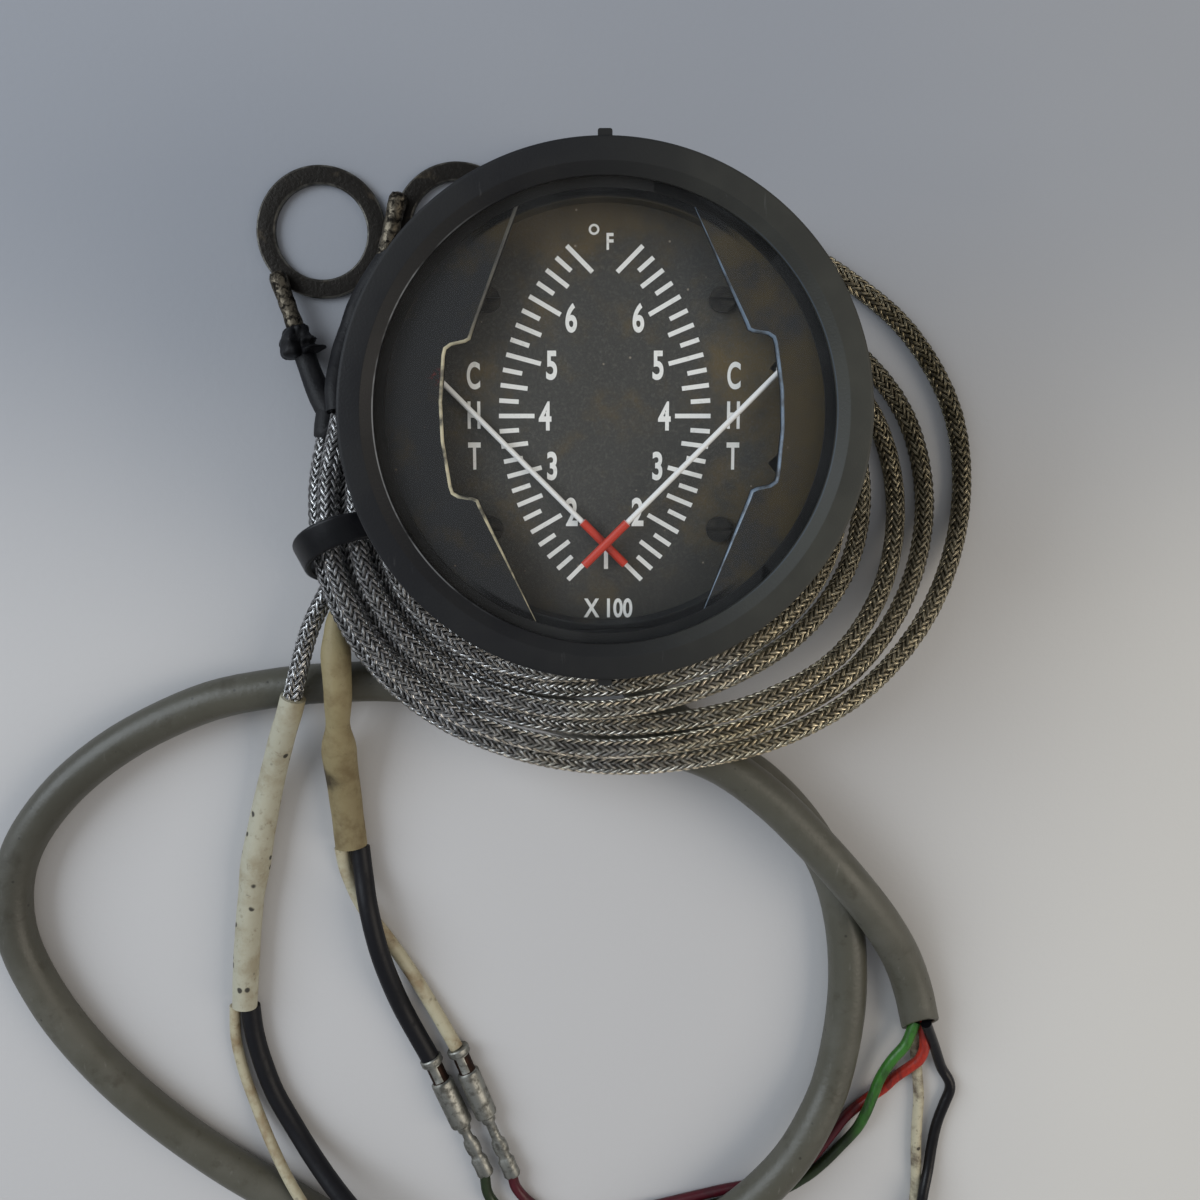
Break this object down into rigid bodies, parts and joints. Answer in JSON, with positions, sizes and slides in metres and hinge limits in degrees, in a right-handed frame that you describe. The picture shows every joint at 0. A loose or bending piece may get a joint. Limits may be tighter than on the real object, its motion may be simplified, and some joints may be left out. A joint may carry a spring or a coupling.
{
  "type": "cylinder head temperature gauge",
  "caption": "Round twin-pointer cylinder head temperature gauge with ring sensors on coiled braided leads and a grey multicore cable.",
  "frame": {"origin": "on the gauge's axis at the surface that its rear studs stand on", "axes": "+Z out of the face, +Y to the top of the dial, +X to its right"},
  "size_m": [0.1599, 0.2061, 0.058],
  "materials": {
    "bezel_plastic": "matt moulded charcoal plastic, slightly rubbed",
    "mask_paint": "fine matt black paint",
    "dial_paint": "fine speckled matt black paint, aged olive at the top",
    "glass": "clear flat glass",
    "gasket_rubber": "matt black rubber",
    "dark_screw": "blackened screw heads",
    "case_metal": "black anodised",
    "cover_plastic": "moulded black plastic",
    "steel": "plated, lightly aged",
    "chassis_metal": "plain sheet",
    "brass": "turned brass",
    "iron": "bright soft iron",
    "magnet": "dark sintered magnet",
    "copper": "enamelled copper wire",
    "pointer_paint": "white rod with a matt red end",
    "bronze": "phosphor bronze strip",
    "jewel": "screw with a jewel cup",
    "resistor": "lacquered",
    "wire_red": "plastic sleeve",
    "ring_metal": "heat darkened, stained",
    "heat_shrink": "black heat shrink",
    "braid": "woven metal braid, tarnished",
    "tie_plastic": "smooth black plastic",
    "sleeve_cream": "yellowed cream sleeve with dirt",
    "wire_black": "black insulation",
    "wire_ivory": "yellowed ivory insulation",
    "cable_jacket": "grey jacket with scuffs",
    "core_black": "black insulation",
    "core_white": "off-white insulation with dark specks",
    "core_green": "green insulation",
    "core_red": "red insulation",
    "tinned": "tin plated contact, tarnished"
  },
  "bodies": {
    "gauge": {"bezel": "bezel_plastic", "lens": "glass", "lens_gasket": "gasket_rubber", "mask": "mask_paint", "dial": "dial_paint", "dial_screws": "dark_screw", "dial_pillars": "brass", "case": "case_metal", "chassis": "chassis_metal", "rear_cover": "cover_plastic", "rear_cover_screws": "steel", "jewel_screws": "jewel", "bridge_screws": "steel", "left_yoke": "iron", "left_magnets": "magnet", "left_core": "iron", "left_hairsprings": "bronze", "left_bridge": "brass", "right_yoke": "iron", "right_magnets": "magnet", "right_core": "iron", "right_hairsprings": "bronze", "right_bridge": "brass", "terminal_studs": "brass", "terminal_nuts": "steel", "terminal_tags": "tinned", "mounting_studs": "steel", "resistors": "resistor", "inner_wires": "wire_red", "ring_a": "ring_metal", "ring_b": "ring_metal", "sensor_a_sleeve": "heat_shrink", "sensor_b_sleeve": "heat_shrink", "lead_a_coil": "braid", "lead_b_coil": "braid", "lead_tie": "tie_plastic", "lead_a_tail": "braid", "lead_b_tail": "braid", "lead_a_sleeve": "sleeve_cream", "lead_b_sleeve": "sleeve_cream", "lead_a_black": "wire_black", "lead_a_ivory": "wire_ivory", "lead_b_black": "wire_black", "lead_b_ivory": "wire_ivory", "signal_cable": "cable_jacket", "cable_core_black": "core_black", "cable_core_white": "core_white", "cable_core_green": "core_green", "cable_core_red": "core_red", "rear_cores": "core_black", "splice_sockets": "tinned", "splice_pins": "tinned"},
    "left_movement": {"left_moving_coil": "copper", "left_staff": "steel", "left_pointer": "pointer_paint"},
    "right_movement": {"right_moving_coil": "copper", "right_staff": "steel", "right_pointer": "pointer_paint"}
  },
  "joints": [
    {"name": "left_pointer_turn", "type": "hinge", "parent": "gauge", "child": "left_movement", "pos_m": [0.0151, 0, 0.045], "axis": [0, 0, -1], "range_deg": [0, 90], "stiffness_Nm_per_rad": 0.0000002},
    {"name": "right_pointer_turn", "type": "hinge", "parent": "gauge", "child": "right_movement", "pos_m": [-0.0151, 0, 0.045], "axis": [0, 0, 1], "range_deg": [0, 90], "stiffness_Nm_per_rad": 0.0000002}
  ]
}
